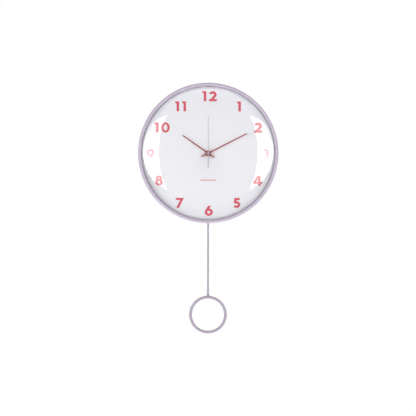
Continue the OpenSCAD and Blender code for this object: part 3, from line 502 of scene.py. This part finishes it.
hour_bar = blade(hour_angle, *hand_stations(hour_tail, hour_long), hour_rear, hand_thick)
hour_hub = hub(2.53, 4.8, hour_rear, hand_thick, 3.6, collar_rise)
piece("hour_hand_lacquered", [hour_bar, hour_hub], [hand_paint], ["hour_hand"])
minute_bar = blade(minute_angle, *hand_stations(minute_tail, minute_long), minute_rear, hand_thick)
minute_hub = hub(1.63, 4.2, minute_rear, hand_thick, 2.8, collar_rise)
piece("minute_hand_lacquered", [minute_bar, minute_hub], [hand_paint],
      ["minute_hand"])
cap_r, socket_r, socket_deep = 3.1, 0.55, 0.62
cap_outline = [[0, second_rear + socket_deep], [socket_r, second_rear + socket_deep],
               [socket_r + 0.03, second_rear], [cap_r - 0.1, second_rear],
               [cap_r, second_rear + 0.12], [cap_r, cap_front - 0.5],
               [cap_r - 0.12, cap_front - 0.25], [cap_r - 0.4, cap_front - 0.06],
               [cap_r - 0.8, cap_front], [0.4, cap_front], [0, cap_front]]
needle = blade(0, [needle_tail, needle_tail + 0.2, -0.6, 0.6, needle_tip - 0.3, needle_tip],
               [1.7, 1.9, 1.9, 1.4, 0.72, 0.5], second_rear, hand_thick)
piece("second_hand_needle", [needle, turned(cap_outline, 64, loop=False)], [needle_paint],
      ["second_hand"])

# ---------------------------------------------------------------- movement housing
# The quartz movement is a black moulding behind the dial, closed by two lids. The upper lid
# carries the steel hanger plate, the lower one covers the pendulum drive, and the battery
# lies in the open bay between them.
moulding = finish("black_grained_moulding", (0.028, 0.028, 0.031), (0.4, 0.52), shade=0.1,
                  patch=0.01, grain=0.00035, depth=0.02)
for node in ("movement_base", "movement_cover", "pendulum_cover"):
    eased(node, moulding, ease=0.3, steps=3)
eased("cushion_washer", black_rubber, ease=0.15)
eased("cover_screws", bright_steel, ease=0.12)
eased("hanger_screws", bright_steel, ease=0.1)
hanger_steel = finish("brushed_hanger_steel", (0.6, 0.6, 0.61), (0.26, 0.4), shade=0.05,
                      patch=0.01, metal=1.0, grain=0.0004, depth=0.006, stretch=(1, 1, 18))
eased("hanger_plate", hanger_steel, ease=0.15)
nickel = finish("nickel_spring_steel", (0.66, 0.64, 0.6), (0.2, 0.34), shade=0.05, patch=0.004,
                metal=1.0, grain=0.0004, depth=0.004, stretch=(1, 1, 10))
eased("contact_positive", nickel, ease=0.08)
eased("contact_negative", nickel, ease=0.06)

# ---------------------------------------------------------------- battery
# A size AA cell: a steel can in a printed film jacket that is shrunk over both shoulders,
# with a raised nub at the positive end.
(cell_low, cell_high), (cell_under, cell_over), (cell_rear, cell_front) = reach("battery")
cell_r = (cell_front - cell_rear) / 2
cell_centre = (0, (cell_under + cell_over) / 2, (cell_front + cell_rear) / 2)
nub_high, nub_r, shrunk, can_r = 1.3, 2.7, cell_r - 1.6, cell_r - 0.9
shoulder = cell_high - nub_high


def jacket_film():
    """Printed film in two colours: the share of copper tone steps from 0 to 1 at 0.68 of the
    cell's length, with a fine pale line at the step."""
    material = finish("cell_jacket_film", srgb(52, 58, 70), (0.22, 0.3), shade=0.04, patch=0.01,
                      grain=0.002, depth=0.01, Coat_Weight=0.5, Coat_Roughness=0.12)
    tree = material.node_tree
    shader = tree.nodes["Principled BSDF"]
    ground = shader.inputs["Base Color"].links[0].from_socket
    place_at, parts = tree.nodes.new("ShaderNodeTexCoord"), tree.nodes.new("ShaderNodeSeparateXYZ")
    bands, mix = tree.nodes.new("ShaderNodeValToRGB"), tree.nodes.new("ShaderNodeMix")
    along = tree.nodes.new("ShaderNodeMapRange")
    along.inputs["From Min"].default_value = cell_low * MM
    along.inputs["From Max"].default_value = shoulder * MM
    ramp = bands.color_ramp
    ramp.interpolation = "CONSTANT"
    ramp.elements[0].position, ramp.elements[0].color = 0, (0, 0, 0, 0)
    ramp.elements[1].position, ramp.elements[1].color = 0.68, (0.75, 0.75, 0.72, 1)
    last = ramp.elements.new(0.695)
    last.color = (0.55, 0.27, 0.12, 1)
    mix.data_type = "RGBA"
    link = tree.links.new
    link(place_at.outputs["Object"], parts.inputs["Vector"])
    link(parts.outputs["X"], along.inputs["Value"])
    link(along.outputs["Result"], bands.inputs["Fac"])
    link(bands.outputs["Alpha"], mix.inputs["Factor"])
    link(ground, mix.inputs["A"])
    link(bands.outputs["Color"], mix.inputs["B"])
    link(mix.outputs["Result"], shader.inputs["Base Color"])
    return material


can = [[0, cell_low + 0.25], [3.6, cell_low + 0.25], [4, cell_low], [can_r - 0.4, cell_low],
       [can_r, cell_low + 0.2], [can_r, shoulder - 0.2], [can_r - 0.4, shoulder],
       [nub_r + 0.4, shoulder], [nub_r, shoulder + 0.15], [nub_r, cell_high - 0.35],
       [nub_r - 0.15, cell_high - 0.1], [nub_r - 0.4, cell_high], [0.4, cell_high], [0, cell_high]]
jacket = rounded([[shrunk, cell_low + 0.05], [cell_r, cell_low + 0.05], [cell_r, shoulder - 0.05],
                  [shrunk, shoulder - 0.05], [shrunk, shoulder - 0.3],
                  [cell_r - 0.25, shoulder - 0.5], [cell_r - 0.25, cell_low + 0.5],
                  [shrunk, cell_low + 0.3]], [0.08, 0.8, 0.8, 0.08, 0.05, 0.4, 0.4, 0.05])
piece("battery_cell", [turned(jacket, 96, cell_centre, "right"),
                       turned(can, 96, cell_centre, "right", loop=False)],
      [jacket_film(), nickel], ["battery"])

# ---------------------------------------------------------------- setting knob
# A small white knob at the back turns the hands. It has 24 grip notches and a dished face
# with a raised bar to turn it by.
knob_plastic = finish("white_knob_plastic", srgb(222, 221, 218), (0.35, 0.45), shade=0.03,
                      patch=0.006, grain=0.0003, depth=0.006)
(knob_left, knob_right), (knob_low, knob_high), (knob_rear, knob_front) = reach("set_knob")
knob_r = (knob_right - knob_left) / 2
knob_at = ((knob_left + knob_right) / 2, (knob_low + knob_high) / 2, 0)
dish, dish_r = knob_rear + 0.6, 3.9
knob_outline = np.concatenate([
    [[0, dish], [dish_r - 0.1, dish]],
    rounded([[dish_r, dish], [dish_r + 0.4, knob_rear], [knob_r, knob_rear], [knob_r, knob_front],
             [3, knob_front]], [0.1, 0.2, 0.35, 0.3, 0.05])[2:-2], [[0, knob_front]]])
knob_columns, notches, notch_deep, notch_in = 240, 24, 0.07, 0.9
knob_points, knob_faces = turned(knob_outline, knob_columns, knob_at, loop=False)
round_knob = np.linspace(0, 2 * np.pi, knob_columns, endpoint=False)
notch_wave = np.clip(np.cos(notches * round_knob), 0, 1) ** 2
edge_share = np.clip((knob_outline[:, 0] - knob_r + notch_in) / notch_in, 0, 1)
centre_line = place(knob_at[0], knob_at[1], knob_outline[:, 1])[:, None, :]
knob_points = centre_line + (knob_points - centre_line) * (
    1 - notch_deep * edge_share[:, None] * notch_wave[None, :])[..., None]
grip_half, grip_thick = 3.3, 0.5
grip = rounded([[-grip_half, -grip_thick], [grip_half, -grip_thick], [grip_half, grip_thick],
                [-grip_half, grip_thick]], 0.3)
grip_layers = [(1.0, knob_rear + 0.7), (1.0, knob_rear + 0.2), (0.93, knob_rear + 0.05),
               (0.8, knob_rear)]
grip_points = np.stack([place(knob_at[0] + grip[:, 0] * s, knob_at[1] + grip[:, 1] * s, depth)
                        for s, depth in grip_layers])
grip_faces = quads(len(grip_layers), len(grip)).tolist() + [
    list(range(len(grip))), list(range(len(grip) * len(grip_layers) - 1,
                                       len(grip) * (len(grip_layers) - 1) - 1, -1))]
piece("setting_knob", [(knob_points, knob_faces), (grip_points, grip_faces)], [knob_plastic],
      ["set_knob"])

# ---------------------------------------------------------------- centre fixing
# A threaded brass bush comes through the dial, with a steel washer and a hexagon nut that
# clamp dial and movement together under the hands.
turned_brass = finish("turned_brass", (0.72, 0.5, 0.2), (0.2, 0.32), shade=0.06, patch=0.003,
                      metal=1.0, grain=0.0004, depth=0.004, stretch=(1, 8, 1))
eased("shaft_bush", turned_brass, ease=0)
eased("bush_nut", turned_brass, ease=0.12)
eased("bush_washer", bright_steel, ease=0.08)

# ---------------------------------------------------------------- inside the movement
# Bearing plates, motor, quartz oscillator and wheel train, all sealed in the housing. The
# wheels are self-coloured mouldings and the coils fine enamelled copper wire.
bridge_moulding = finish("slate_bridge_moulding", (0.075, 0.085, 0.1), (0.42, 0.55), shade=0.06,
                         patch=0.006, grain=0.0003, depth=0.01)
dress(bridge_moulding, "bridge_plastic", "rear_bridge", "middle_plate")
solder_mask = finish("green_solder_mask", (0.02, 0.11, 0.045), (0.25, 0.34), shade=0.25,
                     patch=0.0016, grain=0.0006, depth=0.01, Coat_Weight=0.4)
dress(solder_mask, "circuit_green", "circuit_board")
dress(nickel, "nickel_steel", "quartz_crystal", "pivot_pin")
chip_resin = finish("black_chip_resin", (0.012, 0.012, 0.013), (0.3, 0.42), shade=0.15,
                    patch=0.001, grain=0.0004, depth=0.01)
dress(chip_resin, "chip_resin", "driver_chip")
natural_acetal = finish("natural_acetal", srgb(232, 228, 214), (0.34, 0.44), shade=0.03,
                        patch=0.003, grain=0.0003, depth=0.004, Subsurface_Weight=0.1,
                        Subsurface_Scale=0.001)
green_acetal = finish("green_acetal", srgb(118, 160, 132), (0.34, 0.44), shade=0.04,
                      patch=0.003, grain=0.0003, depth=0.004)
dress(natural_acetal, "gear_natural", "motor_bobbin", "pendulum_bobbin", "rotor_pinion",
      "intermediate_wheel", "second_wheel", "centre_wheel", "hour_wheel", "set_wheel")
dress(green_acetal, "gear_green", "third_wheel", "motion_wheel")
motor_wire = finish("motor_copper_winding", (0.55, 0.2, 0.08), (0.25, 0.35), shade=0.1,
                    patch=0.002, metal=1.0, grain=0.0002, depth=0.03, stretch=(0.3, 12, 12))
dress(motor_wire, "copper_winding", "motor_winding")
drive_wire = finish("drive_copper_winding", (0.55, 0.2, 0.08), (0.25, 0.35), shade=0.1,
                    patch=0.002, metal=1.0, grain=0.0003, depth=0.03)
dress(drive_wire, "copper_winding", "pendulum_coil")
motor_iron = finish("annealed_motor_iron", (0.42, 0.43, 0.44), (0.36, 0.5), shade=0.08,
                    patch=0.003, metal=1.0, grain=0.0003, depth=0.004, stretch=(10, 1, 1))
dress(motor_iron, "electrical_steel", "coil_core", "stator_plate")
ferrite = finish("ferrite_magnet", (0.05, 0.05, 0.055), (0.4, 0.55), shade=0.15, patch=0.001,
                 grain=0.0003, depth=0.01)
dress(ferrite, "magnet_ferrite", "rotor_magnet")

# ---------------------------------------------------------------- pendulum
# A moulded arm swings on a pin inside the lower lid and carries a magnet past the drive coil.
# The steel rod hooks on it by its flattened eye. A welded ring with a small cone hangs at
# its lower end, all powder-coated as the case is. Their colour is the case's lilac made
# darker: painted shade on rod, ring and cone.
magnet_nickel = finish("nickelled_magnet", (0.6, 0.59, 0.57), (0.15, 0.28), shade=0.04,
                       patch=0.003, metal=1.0, grain=0.0004, depth=0.003)
eased("pendulum_arm", natural_acetal, ease=0.25, steps=3)
dress(magnet_nickel, "magnet_nickel", "pendulum_magnet")
# A darker copy of the case's lilac: painted shade on the rod, ring and cone.
pendulum_coat_painted_shade = finish("pendulum_lilac_painted_shade", srgb(171, 159, 178), (0.32, 0.42), shade=0.025,
                        patch=0.03, grain=0.0009, depth=0.03)
eased("pendulum_rod", pendulum_coat_painted_shade, ease=0.15)
eased("ring_ferrule", pendulum_coat_painted_shade, ease=0.25)
(ring_left, ring_right), (ring_low, ring_high), (bar_rear, bar_front) = reach("pendulum_ring")
bar_r = (bar_front - bar_rear) / 2
hoop_centre = ((ring_left + ring_right) / 2, (ring_low + ring_high) / 2, 0)
bar_turn = np.linspace(0, 2 * np.pi, 40, endpoint=False)
bar_section = np.stack([(ring_right - ring_left) / 2 - bar_r + bar_r * np.cos(bar_turn),
                        bar_rear + bar_r + bar_r * np.sin(bar_turn)], -1)
piece("pendulum_hoop", [turned(bar_section, 200, hoop_centre)], [pendulum_coat_painted_shade],
      ["pendulum_ring"], crease=60)

# ---------------------------------------------------------------- room, light and camera
# A pale floor lies well below the clock. Two tall crescents of glowing cloth stand in front
# at either side and show in the glass; wide soft boxes light the front and the back.
eye_up, eye_right, eye_far, bezel_front = -117.6, -0.3, 1300, 32.6
floor_up, floor_r = eye_up - 1440, 1900


def stage_piece(name, points, faces, material):
    """A mesh that belongs to the room."""
    mesh = bpy.data.meshes.new(name)
    mesh.from_pydata(points.reshape(-1, 3), [], faces)
    mesh.materials.append(material)
    obj = bpy.data.objects.new(name, mesh)
    bpy.context.scene.collection.objects.link(obj)
    return obj


floor_paint = finish("pale_matt_floor", (0.86, 0.86, 0.86), (0.6, 0.75), shade=0.01, patch=0.3,
                     grain=0.004, depth=0.1, Emission_Color=(1, 1, 1, 1), Emission_Strength=0.6)
disc = rounded([[0.01, floor_up - 20], [floor_r, floor_up - 20], [floor_r, floor_up],
                [0.01, floor_up]], [0, 4, 4, 0])
stage_piece("studio_floor", *turned(disc, 96, along="up"), floor_paint)


def toward(azimuth, elevation):
    """Unit vectors from the dial's centre towards an azimuth, to the right of the front, and
    an elevation, both in degrees."""
    a, e = np.radians(azimuth), np.radians(elevation)
    return np.stack([np.sin(a) * np.cos(e), -np.cos(a) * np.cos(e), np.sin(e) + 0 * a], -1)


def glowing_cloth():
    """Cloth lit from behind its middle. Its glow falls from card_glow at the lamp's height to
    card_dim where it is card_reach metres higher or lower."""
    material = bpy.data.materials.new("glowing_cloth")
    material.use_nodes = True
    tree = material.node_tree
    shader = tree.nodes["Principled BSDF"]
    shader.inputs["Base Color"].default_value = (0, 0, 0, 1)
    shader.inputs["Emission Color"].default_value = (1, 1, 1, 1)
    place_at, split = tree.nodes.new("ShaderNodeTexCoord"), tree.nodes.new("ShaderNodeSeparateXYZ")
    away, size = tree.nodes.new("ShaderNodeMath"), tree.nodes.new("ShaderNodeMath")
    fade = tree.nodes.new("ShaderNodeMapRange")
    away.operation, size.operation = "SUBTRACT", "ABSOLUTE"
    away.inputs[1].default_value = card_middle
    fade.interpolation_type = "SMOOTHSTEP"
    fade.inputs["From Max"].default_value = card_reach
    fade.inputs["To Min"].default_value, fade.inputs["To Max"].default_value = card_glow, card_dim
    tree.links.new(place_at.outputs["Object"], split.inputs["Vector"])
    tree.links.new(split.outputs["Z"], away.inputs[0])
    tree.links.new(away.outputs[0], size.inputs[0])
    tree.links.new(size.outputs[0], fade.inputs["Value"])
    tree.links.new(fade.outputs["Result"], shader.inputs["Emission Strength"])
    return material


card_far, card_glow, card_dim = 2.2, 10.5, 4
card_middle, card_reach = dial_axis + 0.06, 0.62
card_cloth = glowing_cloth()
inner_edge = np.array([[27.6, 27.0], [29.2, 22.6], [30.4, 16.8], [31.0, 9.6], [30.9, 4.9],
                       [30.6, -1.1], [29.7, -6.5], [28.3, -12.0], [26.4, -17.1]])
outer_edge = np.array([[28.8, 27.2], [35.9, 23.5], [39.4, 18.4], [40.8, 10.2], [40.9, 5.0],
                       [39.9, -0.8], [38.0, -5.9], [34.9, -11.3], [27.4, -17.5]])
for side, name in ((-1, "left"), (1, "right")):
    strip = np.stack([toward(side * edge[:, 0], edge[:, 1]) for edge in (inner_edge, outer_edge)])
    card = stage_piece("crescent_card_" + name, strip * card_far + [0, 0, dial_axis],
                       quads(2, len(inner_edge), ring=False), card_cloth)
    card.visible_camera = card.visible_diffuse = card.visible_shadow = False


def soft_box(name, azimuth, elevation, wide, high, radiance, glossy=False):
    """A rectangular lamp 2.4 m away that faces the dial's centre. Its power is its radiance
    times pi times its area."""
    lamp = bpy.data.lights.new(name, "AREA")
    lamp.shape, lamp.size, lamp.size_y = "RECTANGLE", wide, high
    lamp.energy = radiance * math.pi * wide * high
    obj = bpy.data.objects.new(name, lamp)
    away = Vector(toward(azimuth, elevation))
    obj.location = away * 2.4 + Vector((0, 0, dial_axis))
    obj.rotation_mode = "QUATERNION"
    obj.rotation_quaternion = away.to_track_quat("Z", "Y")
    bpy.context.scene.collection.objects.link(obj)
    obj.visible_camera, obj.visible_glossy = False, glossy


soft_box("front_soft_box_left", -38, -4, 2.2, 2.0, 2.5)
soft_box("front_soft_box_right", 38, -4, 2.2, 2.0, 2.05)
soft_box("rear_soft_box", 150, 30, 1.6, 1.6, 2.2, glossy=True)
soft_box("rear_low_box", 215, 5, 1.4, 1.4, 1.6, glossy=True)

world = bpy.data.worlds.new("studio_air")
world.use_nodes = True
bpy.context.scene.world = world
air = world.node_tree
air_lights, air_shines, air_shows = 0.3, 0.6, 1.0
ray = air.nodes.new("ShaderNodeLightPath")
seen, mirrored = air.nodes.new("ShaderNodeMath"), air.nodes.new("ShaderNodeMath")
seen.operation = mirrored.operation = "MULTIPLY_ADD"
seen.inputs[1].default_value, seen.inputs[2].default_value = air_shows - air_lights, air_lights
mirrored.inputs[1].default_value = air_shines - air_lights
air.links.new(ray.outputs["Is Camera Ray"], seen.inputs[0])
air.links.new(ray.outputs["Is Glossy Ray"], mirrored.inputs[0])
air.links.new(seen.outputs[0], mirrored.inputs[2])
air.nodes["Background"].inputs["Color"].default_value = (1, 1, 1, 1)
air.links.new(mirrored.outputs[0], air.nodes["Background"].inputs["Strength"])
bpy.context.scene.view_settings.view_transform = "Standard"

lens = bpy.data.cameras.new("camera")
lens.sensor_width, lens.lens = 36, 52.64
lens.clip_start, lens.clip_end = 0.05, 20
camera = bpy.data.objects.new("camera", lens)
camera.location = (eye_right * MM, -(bezel_front + eye_far) * MM, eye_up * MM + dial_axis)
camera.rotation_euler = (math.radians(90), math.radians(-0.1), 0)
bpy.context.scene.collection.objects.link(camera)
bpy.context.scene.camera = camera
